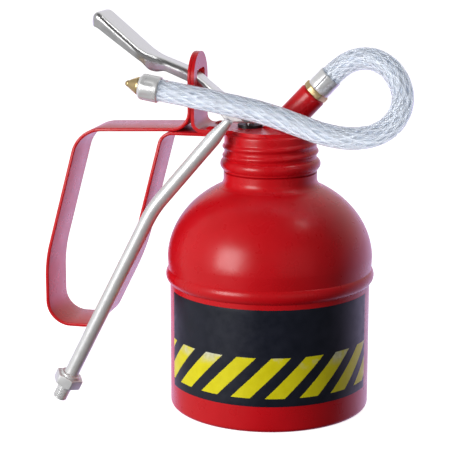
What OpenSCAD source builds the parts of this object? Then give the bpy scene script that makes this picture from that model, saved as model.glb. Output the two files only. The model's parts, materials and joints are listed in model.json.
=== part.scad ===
// Thumb-lever pump oil can, 500 ml, with a flexible hose nozzle and a loose rigid spout.
// Millimetres, +Z up. The origin is the centre of the flat bottom of the can.
// The handle points to -X and the outlet tube to +X.

/* [Can] */
// Outer diameter of the can body
can_d = 87; // [86:0.5:88]
// Sheet thickness of the can, the dome and the screw cap
sheet_t = 0.8; // [0.7:0.05:0.8]
// Height of the lower cup
cup_h = 58; // [57:0.5:58]
// Outer diameter of the neck below the screw cap
neck_d = 40.4; // [40:0.1:40.4]

/* [Label] */
// Lowest edge of the printed label
label_z0 = 11.7; // [8:0.1:14]
// Highest edge of the printed label
label_z1 = 53.5; // [50:0.1:54]
// Half of the angle that the label covers
label_half_angle = 70.5; // [50:0.5:85]
// Direction of the middle of the label, turned from -Y towards +X
label_turn = 11.5; // [0:0.5:20]
// Thickness of the printed film
label_t = 0.15; // [0.1:0.01:0.2]

/* [Handle] */
// Width of the handle and bracket strips
strip_w = 24; // [23:0.5:24]
// Thickness of the handle and bracket strips
strip_t = 1.5; // [1.4:0.05:1.5]
// Height of the bracket's rounded top
tab_top = 154.9; // [153:0.1:156]
// Radius of the bracket's top corners
tab_corner_r = 11.6; // [8:0.1:11.8]

/* [Lever] */
// Half width of the thumb pad
pad_half_w = 10; // [9.5:0.1:10]
// Half width of the lever where it passes through the slot
waist_half_w = 6; // [5.8:0.1:6]
// Sheet thickness of the lever
lever_t = 1.2; // [1:0.05:1.2]
// Side clearance of the lever in its slot
slot_gap = 0.75; // [0.5:0.05:1]

/* [Pump] */
// Diameter of the piston rod
rod_d = 4; // [3.8:0.1:4]
// Outer diameter of the pump barrel
barrel_d = 12; // [11.8:0.1:12]
// Bore of the pump barrel
bore_d = 10; // [9.9:0.1:10]
// Turns of the return spring
spring_turns = 7; // [5:1:8]

/* [Outlet and hose] */
// Angle of the outlet tube above the horizontal
outlet_angle = 47; // [45:0.5:49]
// Outer diameter of the outlet tube
outlet_d = 12; // [11.5:0.1:12]
// Length of the outlet tube from the plate to its end face
outlet_len = 21; // [20:0.5:22]
// Outer diameter of the clear hose
hose_d = 9.5; // [9:0.1:9.5]

/* [Rigid spout] */
// Outer diameter of the spout tube
spout_d = 6.35; // [6:0.05:6.5]
// Bore of the spout tube
spout_bore = 4.4; // [4:0.1:4.6]
// Angle of the spout's lower run above the horizontal
spout_rise = 63.3; // [62.5:0.1:64]
// Angle between the spout's two straight runs
spout_bend = 13.6; // [13:0.1:14]
// Depth of the plane that the spout stands in
spout_y = -21.5; // [-25:0.5:-21.5]

/* [Hidden] */
$fn = 72;
eps = 0.02;

red = "firebrick";
steel = "silver";
brass = "goldenrod";
black = "dimgray";

can_r = can_d / 2;
neck_r = neck_d / 2;

// Dome: half an ellipsoid that stands on the rolled seam, faired into the neck
dome_z = 65.7;
dome_a = 44.6;
dome_b = 37;
seam_z = 59;
lip_gap = 0.03;
lip_drop = 3.4;
seam_r = 3.9;
fair_r = 3.7;
fair_z = 101.1;
finish_r = 18.5;
finish_z0 = 104.9;
finish_top = 118.3;

// Screw cap
cap_z0 = 104.6;
cap_top = 121.3;
cap_r = 19.9;
cap_bore = 19.2;
cap_bead_z = 107.5;
cap_bead_r = 2.75;
cap_ridge_r = 1.5;
cap_ridges = [113.1, 116.4];
plate_top = cap_top + strip_t;
plate_r = 18.6;

// Pump axes in the plane Y = 0
rod_x = -9;
outlet_x = 4.5;
rod_r = rod_d / 2;
rod_gap = 0.05;
barrel_r = barrel_d / 2;
bore_r = bore_d / 2;
head_r = 16.5;
head_z0 = 115.1;
roof_t = 1.2;
head_z1 = cap_top - roof_t;
spigot_top = 123.6;
gland_top = 124.1;
seal_z0 = 122;
spigot_r = 3.6;
outlet_spigot_r = 3.5;
chamber_z = 117.1;
recess_z = 118.6;
passage_z = 117.8;
barrel_z0 = 78;
valve_seat_z = barrel_z0;
piston_z = 84;
cup_z = 87;
cup_lip = 1;
retainer_z = 90;
spring_z0 = 92.2;
spring_z1 = 118.4;
spring_mean_r = 4;
spring_wire_r = 0.4;

// Lever: fulcrum on the slot's lower lip, pin through the rod's head
fulcrum = [-32.3, 141.3];
pin_z = 128.3;
pin_r = 1.5;
pin_slot_gap = 0.35;
pin_slot_run = 3;
ear_half_w = 6.8;
slot_z0 = 140.4;
slot_z1 = 147.6;
tab_x = -32.3;

// Outlet, hose and nozzle
adapter_hex = 10.2;
adapter_len = 2.6;
ferrule_r = hose_d / 2 + 0.5;
ferrule_len = 8;
nozzle_ferrule_r = 5.6;
nozzle_ferrule_len = 8;
nozzle_base_r = 3.9;
nozzle_tip_r = 1.4;
nozzle_len = 6.3;
hose_sides = 12;

// Route of the hose's centre line, from the adapter's face to the nozzle's base
hose_route = [
    [20.6, 0, 140.06], [23.3, 0, 143], [26.1, 0, 145.9], [29, -0.5, 148.7], [32.5, -1.5, 151.3],
    [36.5, -2.8, 153.2], [41, -4.3, 154.1], [45.5, -6, 153.8], [50, -8, 152], [53.8, -9.8, 149],
    [56.6, -11.8, 145], [58.1, -13.7, 140.6], [58.1, -15.8, 136], [56.5, -17.8, 131.6],
    [53.4, -19.7, 127.9], [49.2, -21.4, 125.3], [44.2, -22.7, 123.9], [38.5, -23.5, 123.4],
    [32, -24, 124], [25, -24.1, 125.5], [17, -24, 128], [8, -23.7, 130.9], [-2, -23.2, 133.5],
    [-12.5, -22.7, 135.4], [-23, -22.3, 137.2], [-33, -22.1, 138.9], [-43, -22, 140.6],
    [-50.9, -22, 141.94]];

// Route of the handle strip's middle line in the X-Z plane and its corner radii
handle_route = [[-33.05, 156], [-33.05, 122.5], [-82.9, 120.6], [-98.8, 61.3], [-98.8, 32.4],
                [-75.7, 32.4], [-59.7, 64.8], [-45.2, 120.55], [-21.9, 120.55]];
handle_radii = [8, 14, 60, 16, 11, 100, 6];

// Route of the bracket strip's middle line and its corner radius
bracket_route = [[-31.55, 156], [-31.55, 122.05], [0, 122.05]];
bracket_radii = [4];

// Rivets that join the strips: through the plate, and through the bracket
plate_rivet_x = -24;
plate_rivet_y = 8;
tab_rivet_z = 133.5;
tab_rivet_y = 8.5;
rivet_r = 1.5;
rivet_head_r = 2.6;
rivet_head_h = 1.1;

// Rigid spout, measured along its lower run from the threaded end
spout_foot = [-90.8, 1.5];
spout_r = spout_d / 2;
spout_bend_r = 50;
spout_low_len = 92.3;
spout_high_len = 35.2;
spout_taper_len = 10.6;
spout_tip_r = 1.75;
spout_tip_bore = 0.8;
stub_r = 3.175;
stub_len = 7.5;
nut_flats = 11.2;
nut_h = 4.4;

// ---------------------------------------------------------------- helpers

function unit(v) = v / norm(v);

// Points on an arc of radius r round [x, y], from angle a to angle b in n steps
function arc(x, y, r, a, b, n) =
    [for (i = [0 : n]) let (t = a + (b - a) * i / n) [x + r * cos(t), y + r * sin(t)]];

// Points on an ellipse of half axes p and q round [0, y]
function ellipse_arc(y, p, q, a, b, n) =
    [for (i = [0 : n]) let (t = a + (b - a) * i / n) [p * cos(t), y + q * sin(t)]];

// Angle b moved by whole turns to within half a turn of a
function near_angle(a, b) = b - a > 180 ? b - 360 : b - a < -180 ? b + 360 : b;

// Corner b between a and c, rounded to radius r in n steps
function fillet(a, b, c, r, n) =
    let (u = unit(a - b), v = unit(c - b), half = acos(u * v) / 2,
         m = b + unit(u + v) * r / sin(half), p = b + u * r / tan(half) - m,
         q = b + v * r / tan(half) - m, s = atan2(p.y, p.x), e = near_angle(s, atan2(q.y, q.x)))
    arc(m.x, m.y, r, s, e, n);

// Polyline with every inner corner rounded
function rounded(route, radii) =
    let (last = len(route) - 1)
    concat([route[0]],
           [for (i = [1 : last - 1]) each fillet(route[i - 1], route[i], route[i + 1],
                                                 radii[i - 1], radii[i - 1] > 40 ? 6 : 9)],
           [route[last]]);

// Outline of a strip of thickness t whose middle line is the given polyline
function strip_outline(line, t) =
    let (last = len(line) - 1,
         normals = [for (i = [0 : last])
             let (d = unit(line[min(i + 1, last)] - line[max(i - 1, 0)])) [-d.y, d.x]])
    concat([for (i = [0 : last]) line[i] + normals[i] * t / 2],
           [for (i = [last : -1 : 0]) line[i] - normals[i] * t / 2]);

// A profile in the X-Z plane, given a width along Y
module side_plate(width) {
    rotate([90, 0, 0])
        linear_extrude(height = width, center = true)
            children();
}

// A hexagonal prism across flats
module hexagon(flats, h) {
    cylinder(r = flats / sqrt(3), h = h, $fn = 6);
}

// A tube along +Z
module pipe(ro, ri, z0, z1) {
    translate([0, 0, z0])
        difference() {
            cylinder(r = ro, h = z1 - z0);
            translate([0, 0, -eps])
                cylinder(r = ri, h = z1 - z0 + 2 * eps);
        }
}

// A solid rod along +Z
module rod(r, z0, z1) {
    translate([0, 0, z0])
        cylinder(r = r, h = z1 - z0);
}

// A ring of n points round a route, square to it; no route here runs along Y
function ring_at(route, i, r, n) =
    let (last = len(route) - 1, d = unit(route[min(i + 1, last)] - route[max(i - 1, 0)]),
         side = unit(cross(d, [-0.3, 0.9, 0.3])), up = cross(side, d))
    [for (k = [0 : n - 1]) route[i] + r * (side * cos(360 * k / n) + up * sin(360 * k / n))];

// A round rod swept along a route as one polyhedron, with a radius at every point
module sweep(route, radii, n) {
    last = len(route) - 1;
    points = [for (i = [0 : last]) each ring_at(route, i, radii[i], n)];
    sides = [for (i = [0 : last - 1]) for (k = [0 : n - 1])
        [i * n + k, (i + 1) * n + k, (i + 1) * n + (k + 1) % n, i * n + (k + 1) % n]];
    start = [for (k = [0 : n - 1]) k];
    finish = [for (k = [n - 1 : -1 : 0]) last * n + k];
    polyhedron(points = points, faces = concat([start, finish], sides), convexity = 6);
}

// ---------------------------------------------------------------- can

// Lower cup with a flat bottom, a pressed ring groove and a rounded lower edge
module can_base() {
    color(red)
        rotate_extrude()
            polygon(concat(
                [[0, 0], [33, 0], [34, 1.1], [36.5, 1.1], [37.5, 0]],
                arc(can_r - 2, 2, 2, -90, 0, 6),
                [[can_r, cup_h], [can_r - sheet_t, cup_h]],
                arc(can_r - 2, 2, 2 - sheet_t, 0, -90, 4),
                [[38, sheet_t], [37, 1.1 + sheet_t], [33.5, 1.1 + sheet_t], [32.5, sheet_t],
                 [0, sheet_t]]));
}

// Domed top with a rolled seam at its lower edge and a threaded neck
module can_dome() {
    inner = sheet_t;
    color(red)
        rotate_extrude()
            polygon(concat(
                [[can_r + lip_gap, seam_z - lip_drop]],
                arc(can_r - 2, seam_z, seam_r, -50, 44, 8),
                ellipse_arc(dome_z, dome_a, dome_b, 2, 60, 16),
                arc(neck_r + fair_r, fair_z, fair_r, 244, 180, 6),
                [[neck_r, 103.8], [finish_r, finish_z0]],
                [for (z = [108.2, 112, 115.8]) each arc(finish_r - 0.2, z, 0.6, -70, 70, 4)],
                [[finish_r, finish_top], [finish_r - inner, finish_top],
                 [finish_r - inner, finish_z0 - 0.4], [neck_r - inner, 103.2]],
                arc(neck_r + fair_r, fair_z, fair_r + inner, 180, 244, 5),
                ellipse_arc(dome_z, dome_a - inner, dome_b - inner, 60, -8, 14),
                [[can_r + lip_gap, cup_h + 0.1]]));
}

// Printed film wrapped round the front of the cup
module label() {
    color("midnightblue")
        rotate([0, 0, -90 + label_turn - label_half_angle])
            rotate_extrude(angle = 2 * label_half_angle)
                translate([can_r, label_z0])
                    square([label_t, label_z1 - label_z0]);
}

// ---------------------------------------------------------------- cap and handle

// Pressed screw cap: lower bead, two thread ridges, flat top with two holes
module screw_cap() {
    color(red)
        difference() {
            rotate_extrude()
                polygon(concat(
                    [[0, cap_top], [0, head_z1], [cap_bore, head_z1],
                     [cap_bore, 110.4], [20.3, 109], [20.6, 107.5], [20.3, cap_z0]],
                    arc(cap_r - 1, cap_bead_z, cap_bead_r, -60, 60, 7),
                    [for (z = cap_ridges) each arc(cap_r - 0.7, z, cap_ridge_r, -62, 62, 5)],
                    [[cap_r, 119.4]],
                    arc(cap_r - 1.2, cap_top - 1.2, 1.2, 0, 90, 4)));
            translate([rod_x, 0, 0])
                rod(spigot_r, cap_z0, cap_top + 1);
            translate([outlet_x, 0, 0])
                rod(outlet_spigot_r, cap_z0, cap_top + 1);
        }
}

// Flat ring between the cap and the neck
module cap_gasket() {
    color(black)
        pipe(cap_bore - 0.3, head_r + 0.1, finish_top + 0.2, head_z1);
}

// Rounded outline of the bracket's top, as a prism along X
module tab_shape() {
    low = tab_top - tab_corner_r;
    side = strip_w / 2;
    translate([-60, 0, 0])
        rotate([90, 0, 90])
            linear_extrude(height = 60)
                union() {
                    translate([-side, 100])
                        square([2 * side, low - 100]);
                    for (s = [-1, 1])
                        translate([s * (side - tab_corner_r), low])
                            circle(r = tab_corner_r);
                    translate([-(side - tab_corner_r), low - 1])
                        square([2 * (side - tab_corner_r), tab_corner_r + 1]);
                }
}

// The slot that the lever passes through, with rounded upper corners
module lever_slot() {
    half = waist_half_w + slot_gap;
    corner = 2;
    translate([tab_x - 10, 0, 0])
        rotate([90, 0, 90])
            linear_extrude(height = 20)
                union() {
                    translate([-half, slot_z0])
                        square([2 * half, slot_z1 - slot_z0 - corner]);
                    translate([-half + corner, slot_z0])
                        square([2 * (half - corner), slot_z1 - slot_z0]);
                    for (s = [-1, 1])
                        translate([s * (half - corner), slot_z1 - corner])
                            circle(r = corner);
                }
}

// Rivet shanks, used as holes in the strips and as the rivets' middles
module rivet_shanks() {
    for (s = [-1, 1]) {
        translate([plate_rivet_x, s * plate_rivet_y, cap_top - strip_t])
            cylinder(r = rivet_r, h = 2 * strip_t);
        translate([tab_x - strip_t, s * tab_rivet_y, tab_rivet_z])
            rotate([0, 90, 0])
                cylinder(r = rivet_r, h = 2 * strip_t);
    }
}

// Plate on the cap, bent up into the slotted bracket that carries the lever
module lever_bracket() {
    color(red)
        difference() {
            union() {
                intersection() {
                    side_plate(strip_w)
                        polygon(strip_outline(rounded(bracket_route, bracket_radii), strip_t));
                    tab_and_bar();
                }
                rod(plate_r, cap_top, plate_top);
            }
            lever_slot();
            rivet_shanks();
            translate([rod_x, 0, 0])
                rod(spigot_r, cap_top - 1, plate_top + 1);
            translate([outlet_x, 0, 0])
                rod(outlet_spigot_r, cap_top - 1, plate_top + 1);
        }
}

// Everything below the bracket's top, with the top's rounded outline
module tab_and_bar() {
    union() {
        tab_shape();
        translate([-120, -strip_w, 0])
            cube([140, 2 * strip_w, 135]);
    }
}

// One strip: back of the bracket, top bar, finger loop and the end below the plate
module handle_strip() {
    color(red)
        difference() {
            intersection() {
                side_plate(strip_w)
                    polygon(strip_outline(rounded(handle_route, handle_radii), strip_t));
                tab_and_bar();
            }
            lever_slot();
            rivet_shanks();
        }
}

// A low domed rivet head on +Z
module rivet_head() {
    intersection() {
        cylinder(r = rivet_head_r, h = rivet_head_h);
        translate([0, 0, rivet_head_h - 3.6])
            sphere(r = 3.6);
    }
}

// Four rivets, two through the plate and two through the bracket
module handle_rivets() {
    color(red)
        union() {
            rivet_shanks();
            for (s = [-1, 1]) {
                translate([plate_rivet_x, s * plate_rivet_y, plate_top])
                    rivet_head();
                translate([plate_rivet_x, s * plate_rivet_y, cap_top - strip_t])
                    rotate([180, 0, 0])
                        rivet_head();
                translate([tab_x + strip_t, s * tab_rivet_y, tab_rivet_z])
                    rotate([0, 90, 0])
                        rivet_head();
                translate([tab_x - strip_t, s * tab_rivet_y, tab_rivet_z])
                    rotate([0, -90, 0])
                        rivet_head();
            }
        }
}

// ---------------------------------------------------------------- pump

// Valve block below the cap, with the rod's spigot and the outlet's spigot
module pump_head() {
    color(steel)
        difference() {
            union() {
                rod(head_r, head_z0, head_z1);
                translate([rod_x, 0, 0])
                    rod(spigot_r, head_z1 - 1, spigot_top);
                translate([outlet_x, 0, 0])
                    rod(outlet_spigot_r, head_z1 - 1, 126.6);
            }
            translate([rod_x, 0, 0]) {
                rod(barrel_r, head_z0 - 1, chamber_z);
                rod(bore_r - 0.5, chamber_z - 0.1, recess_z);
                rod(rod_r + rod_gap, recess_z - 0.1, 125);
                rod(rod_r + 0.9, seal_z0, 125);
            }
            translate([rod_x, 0, passage_z])
                rotate([0, 90, 0])
                    cylinder(r = 0.75, h = outlet_x - rod_x);
            translate([outlet_x, 0, 0]) {
                rod(1.5, passage_z - 0.75, 127);
                rod(2.4, 121, 127);
            }
        }
}

// Black gland nut that clamps the plate round the rod's spigot
module gland_nut() {
    color(black)
        translate([rod_x, 0, 0])
            difference() {
                rod(5.4, plate_top, gland_top);
                rod(spigot_r, plate_top - 1, spigot_top);
                rod(rod_r + 0.2, plate_top, 126);
            }
}

// Seal ring round the rod, in the spigot's counterbore
module rod_seal() {
    color(black)
        translate([rod_x, 0, 0])
            pipe(rod_r + 0.9, rod_r + rod_gap, seal_z0, spigot_top);
}

// Brass barrel pressed into the valve block
module pump_barrel() {
    color(brass)
        translate([rod_x, 0, 0])
            pipe(barrel_r, bore_r, barrel_z0, chamber_z);
}

// Plug at the foot of the barrel, with the ball's seat and the spigot for the suction tube
module foot_valve_body() {
    color(brass)
        translate([rod_x, 0, 0])
            difference() {
                union() {
                    rod(barrel_r, 75, valve_seat_z);
                    rod(bore_r, valve_seat_z - 0.5, 81);
                    rod(2, 70, 75.5);
                }
                rod(1.3, 69, 82);
                rod(2.6, valve_seat_z, 82);
            }
}

// Steel ball that seals the foot of the pump
module foot_valve_ball() {
    color(steel)
        translate([rod_x, 0, 79.85])
            sphere(r = 2.2);
}

// Tube from the foot valve to the bottom of the can
module suction_tube() {
    color(black)
        translate([rod_x, 0, 0])
            pipe(3, 2, 12, 75);
}

// Slotted cup that keeps dirt out of the suction tube
module strainer() {
    color(brass)
        translate([rod_x, 0, 0])
            difference() {
                rod(4.2, 6, 16);
                rod(3, 12, 17);
                rod(2.6, 7, 13);
                for (z = [8, 10])
                    translate([-5, -2, z])
                        cube([10, 4, 1]);
            }
}

// Compression spring between the cup retainer and the valve block
module return_spring() {
    steps = 14;
    rise = spring_z1 - spring_z0 - 2 * spring_wire_r;
    total = steps * spring_turns;
    route = [for (i = [0 : total])
        [spring_mean_r * cos(360 * i / steps), spring_mean_r * sin(360 * i / steps),
         rise * i / total]];
    color(steel)
        translate([rod_x, 0, spring_z0 + spring_wire_r])
            sweep_coil(route, spring_wire_r, 6);
}

// A coil's wire as one polyhedron; the rings stand square to the turn
module sweep_coil(route, r, n) {
    last = len(route) - 1;
    points = [for (i = [0 : last]) let (c = unit([route[i].x, route[i].y, 0]))
        for (k = [0 : n - 1]) route[i] + r * (c * cos(360 * k / n) + [0, 0, 1] * sin(360 * k / n))];
    sides = [for (i = [0 : last - 1]) for (k = [0 : n - 1])
        [i * n + k, i * n + (k + 1) % n, (i + 1) * n + (k + 1) % n, (i + 1) * n + k]];
    start = [for (k = [n - 1 : -1 : 0]) k];
    finish = [for (k = [0 : n - 1]) last * n + k];
    polyhedron(points = points, faces = concat([start, finish], sides), convexity = 8);
}

// Rod that the lever lifts
module piston_rod() {
    color(steel)
        translate([rod_x, 0, 0])
            rod(rod_r, piston_z, pin_z - 1.5);
}

// Cross head on top of the rod, between the lever's ears
module rod_head() {
    half = ear_half_w - lever_t - 0.2;
    color(steel)
        translate([rod_x, 0, 0])
            difference() {
                translate([0, half, pin_z])
                    rotate([90, 0, 0])
                        cylinder(r = 2.5, h = 2 * half);
                translate([0, half + 1, pin_z])
                    rotate([90, 0, 0])
                        cylinder(r = pin_r, h = 2 * half + 2);
                rod(rod_r, pin_z - 4, pin_z - 1.5);
            }
}

// Headed pin through the ears and the cross head
module lever_pin() {
    shank = ear_half_w + 0.2;
    color(steel)
        translate([rod_x, 0, pin_z])
            rotate([90, 0, 0])
                union() {
                    translate([0, 0, -shank])
                        cylinder(r = pin_r, h = 2 * shank);
                    for (s = [-1, 1])
                        translate([0, 0, s > 0 ? shank : -shank - 1])
                            cylinder(r = 2.4, h = 1);
                }
}

// Piston disc with four oil notches
module piston() {
    color(brass)
        translate([rod_x, 0, 0])
            difference() {
                rod(bore_r - 0.1, piston_z, cup_z);
                rod(rod_r, piston_z - 1, cup_z + 1);
                for (a = [45 : 90 : 315])
                    rotate([0, 0, a])
                        translate([bore_r, 0, piston_z - 1])
                            cylinder(r = 1.4, h = 5);
            }
}

// Rubber cup whose lip opens upwards
module piston_cup() {
    color(black)
        translate([rod_x, 0, 0])
            difference() {
                rod(bore_r - 0.05, cup_z, retainer_z);
                rod(bore_r - cup_lip, cup_z + 1, retainer_z + 1);
                rod(rod_r, cup_z - 1, retainer_z);
            }
}

// Hexagonal nut that holds the cup and carries the spring
module cup_retainer() {
    color(steel)
        translate([rod_x, 0, 0])
            difference() {
                union() {
                    rod(bore_r - cup_lip - 0.1, cup_z + 1, retainer_z + 1);
                    translate([0, 0, retainer_z])
                        hexagon(8, spring_z0 - retainer_z);
                }
                rod(rod_r, cup_z, spring_z0 + 1);
            }
}

// ---------------------------------------------------------------- lever

// Middle line of the lever's top face, from the pad to the ears
web_line = [[-73.2, 171], [-53.5, 154.4], [-34, 147.2], [-15, 131.65]];

// Height of the web's top face at x
function web_z(x) = lookup(x, web_line);

// Side view of the whole lever
function lever_side() = concat(
    [[-77, 165.4], [-77.2, 168.6], [-76.4, 170.4], [-74.9, 171.4]],
    web_line,
    [[-13.2, 132.4], [-6.1, 132.4], [-4.9, 131.6], [-4.5, 130.4], [-4.5, 125.5], [-17.9, 125.5],
     [-29.9, 139.9], [-31.3, 141], [-34.1, 141.8], [-45.6, 146.6], [-49.2, 146.1], [-52, 147],
     [-54.6, 150.3], [-74.3, 164.5]]);

// Side view of the hollow between the flanges, open downwards and over the ears
function lever_hollow() = [
    [-77 + lever_t, 120], [-76.2 + lever_t, 169], [-73.2, web_z(-73.2) - 1.6 * lever_t],
    [-53.6, web_z(-53.5) - 1.2 * lever_t], [-34.2, web_z(-34) - 1.2 * lever_t],
    [-15.1, web_z(-15.1) - 1.5 * lever_t], [-15, 140], [0, 140], [0, 120]];

// Half widths of the lever along X, less an inset
function lever_plan(inset) =
    let (half = [[-77.2 + inset, 6.5], [-76.2 + inset, 8.6], [-74 + inset, 9.7],
                 [-70, pad_half_w], [-57, pad_half_w], [-53, 8.9], [-49, 6.7],
                 [-46, waist_half_w], [-28, waist_half_w], [-20, ear_half_w], [0, ear_half_w]],
         last = len(half) - 1)
    concat([for (p = half) [p.x, -p.y + inset]],
           [for (i = [last : -1 : 0]) [half[i].x, half[i].y - inset]]);

// Pressed channel lever: thumb pad, waist in the slot, ears with oblong holes
module thumb_lever() {
    aim = unit(fulcrum - [rod_x, pin_z]);
    color(steel)
        difference() {
            intersection() {
                side_plate(3 * pad_half_w)
                    polygon(lever_side());
                translate([0, 0, 100])
                    linear_extrude(height = 100)
                        polygon(lever_plan(0));
            }
            intersection() {
                side_plate(3 * pad_half_w)
                    polygon(lever_hollow());
                translate([0, 0, 100])
                    linear_extrude(height = 100)
                        polygon(lever_plan(lever_t));
            }
            side_plate(4 * pad_half_w)
                union() {
                    for (run = [0, pin_slot_run])
                        translate([rod_x, pin_z] + run * aim)
                            circle(r = pin_r + pin_slot_gap);
                    translate([rod_x, pin_z])
                        rotate(atan2(aim.y, aim.x))
                            translate([0, -pin_r - pin_slot_gap])
                                square([pin_slot_run, 2 * (pin_r + pin_slot_gap)]);
                }
        }
}

// ---------------------------------------------------------------- outlet and hose

// Places a part on the outlet's axis, d along it from the plate
module on_outlet(d) {
    translate([outlet_x, 0, plate_top])
        rotate([0, 90 - outlet_angle, 0])
            translate([0, 0, d])
                children();
}

// Ball that closes the outlet on the return stroke
module outlet_ball() {
    color(steel)
        translate([outlet_x, 0, 122.35])
            sphere(r = 1.9);
}

// Slanted red tube on the plate, bored for the adapter
module outlet_tube() {
    r = outlet_d / 2;
    edge = 0.9;
    color(red)
        difference() {
            on_outlet(-12)
                rotate_extrude()
                    polygon(concat([[0, 0], [r, 0]],
                                   arc(r - edge, outlet_len + 12 - edge, edge, 0, 90, 4),
                                   [[0, outlet_len + 12]]));
            translate([-30, -20, plate_top - 40])
                cube([60, 40, 40]);
            translate([outlet_x, 0, 0])
                rod(outlet_spigot_r, plate_top - 1, 126.8);
            on_outlet(4)
                cylinder(r = 1.8, h = outlet_len);
            on_outlet(outlet_len - 7)
                cylinder(r = 3.4, h = 8);
        }
}

// Brass adapter: threaded end, hexagon and barb
module hose_adapter() {
    color(brass)
        on_outlet(outlet_len)
            difference() {
                union() {
                    rod(3.4, -6.5, 0.5);
                    hexagon(adapter_hex, adapter_len);
                    rod(2.7, adapter_len - 0.5, adapter_len + 7);
                    translate([0, 0, adapter_len + 2])
                        cylinder(r1 = 3.3, r2 = 2.7, h = 2);
                    translate([0, 0, adapter_len + 5])
                        cylinder(r1 = 3.3, r2 = 2.5, h = 2);
                }
                rod(1.5, -7, adapter_len + 8);
            }
}

// Crimped sleeve round the start of the hose
module hose_ferrule() {
    color(steel)
        on_outlet(outlet_len + adapter_len)
            difference() {
                union() {
                    rod(ferrule_r, 0, ferrule_len);
                    rod(ferrule_r + 0.35, 1.2, 3.2);
                }
                rod(hose_d / 2 + rod_gap, -1, ferrule_len + 1);
            }
}

// Clear hose, straight out of the adapter and round in one loop to the nozzle
module hose() {
    color("lightsteelblue")
        sweep(hose_route, [for (p = hose_route) hose_d / 2], hose_sides);
}

// Places a part on the hose's last stretch, d along it from the hose's end
module on_nozzle(d) {
    last = len(hose_route) - 1;
    aim = unit(hose_route[last] - hose_route[last - 1]);
    translate(hose_route[last])
        rotate([0, -acos(aim.z), 0])
            translate([0, 0, d])
                children();
}

// Crimped sleeve round the end of the hose
module nozzle_ferrule() {
    color(steel)
        on_nozzle(-nozzle_ferrule_len)
            difference() {
                rotate_extrude()
                    polygon(concat([[0, 0], [nozzle_ferrule_r, 0]],
                                   arc(nozzle_ferrule_r - 1.4, nozzle_ferrule_len - 0.6, 1.4, 0, 80, 4),
                                   [[0, nozzle_ferrule_len + 0.8]]));
                rod(hose_d / 2 + rod_gap, -1, nozzle_ferrule_len);
                rod(2.5, 0, nozzle_ferrule_len + 2);
            }
}

// Brass cone nozzle with a barb inside the hose
module nozzle() {
    rise = 0.8;
    color(brass)
        on_nozzle(rise)
            difference() {
                rotate_extrude()
                    polygon(concat([[0, -6], [2.5, -6], [2.5, 0], [nozzle_base_r, 0],
                                    [nozzle_base_r, 0.6]],
                                   arc(0, nozzle_len - nozzle_tip_r, nozzle_tip_r, 25, 90, 5)));
                rod(0.8, -7, nozzle_len + 1);
            }
}

// ---------------------------------------------------------------- rigid spout

// Places a part on the spout's lower run; +Z runs from the threaded end upwards
module on_spout() {
    translate([spout_foot.x, spout_y, spout_foot.y])
        rotate([0, 90 - spout_rise, 0])
            children();
}

// Middle line of the bent tube: straight run, bend, straight run and taper
function spout_line() =
    let (high = [spout_bend_r * (1 - cos(spout_bend)), 0,
                 spout_low_len + spout_bend_r * sin(spout_bend)],
         aim = [sin(spout_bend), 0, cos(spout_bend)], steps = 5)
    concat([[0, 0, stub_len + nut_h]],
           [for (i = [0 : steps]) let (t = spout_bend * i / steps)
               [spout_bend_r * (1 - cos(t)), 0, spout_low_len + spout_bend_r * sin(t)]],
           [high + spout_high_len * aim, high + (spout_high_len + spout_taper_len) * aim]);

// Bent tube that narrows at its tip, as one polyhedron with its bore
module spout_tube() {
    n = 28;
    line = spout_line();
    last = len(line) - 1;
    rings = [for (i = [0 : last])
        let (tip = i == last)
        each concat(ring_at(line, i, tip ? spout_tip_r : spout_r, n),
                    ring_at(line, i, tip ? spout_tip_bore : spout_bore / 2, n))];
    sides = [for (i = [0 : last - 1]) for (k = [0 : n - 1])
        let (a = 2 * n * i, b = a + 2 * n, m = (k + 1) % n)
        each [[a + k, b + k, b + m], [a + k, b + m, a + m],
              [a + n + k, b + n + m, b + n + k], [a + n + k, a + n + m, b + n + m]]];
    ends = [for (k = [0 : n - 1])
        let (m = (k + 1) % n, e = 2 * n * last)
        each [[k, m, n + m], [k, n + m, n + k],
              [e + k, e + n + m, e + m], [e + k, e + n + k, e + n + m]]];
    color(steel)
        on_spout()
            polyhedron(points = rings, faces = concat(sides, ends), convexity = 8);
}

// Threaded stub, hexagon and collar in one piece at the foot of the tube
module spout_connector() {
    color(steel)
        on_spout()
            difference() {
                union() {
                    rod(stub_r, 0, stub_len + 1);
                    translate([0, 0, stub_len])
                        hexagon(nut_flats, nut_h);
                    rod(4.5, stub_len + nut_h - 0.1, stub_len + nut_h + 1.2);
                }
                rod(1.8, -1, stub_len + nut_h + 1);
                rod(spout_r + rod_gap, stub_len + nut_h, stub_len + nut_h + 2);
            }
}

// ---------------------------------------------------------------- assembly

can_base();
can_dome();
label();
screw_cap();
cap_gasket();
pump_head();
gland_nut();
rod_seal();
lever_bracket();
handle_strip();
handle_rivets();
pump_barrel();
foot_valve_body();
foot_valve_ball();
suction_tube();
strainer();
return_spring();
piston_rod();
rod_head();
lever_pin();
piston();
piston_cup();
cup_retainer();
thumb_lever();
outlet_ball();
outlet_tube();
hose_adapter();
hose_ferrule();
hose();
nozzle_ferrule();
nozzle();
spout_tube();
spout_connector();
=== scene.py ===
"""Thumb-lever pump oil can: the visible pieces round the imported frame."""
import json
import math

import bmesh
import bpy
from mathutils import Matrix, Vector


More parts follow.
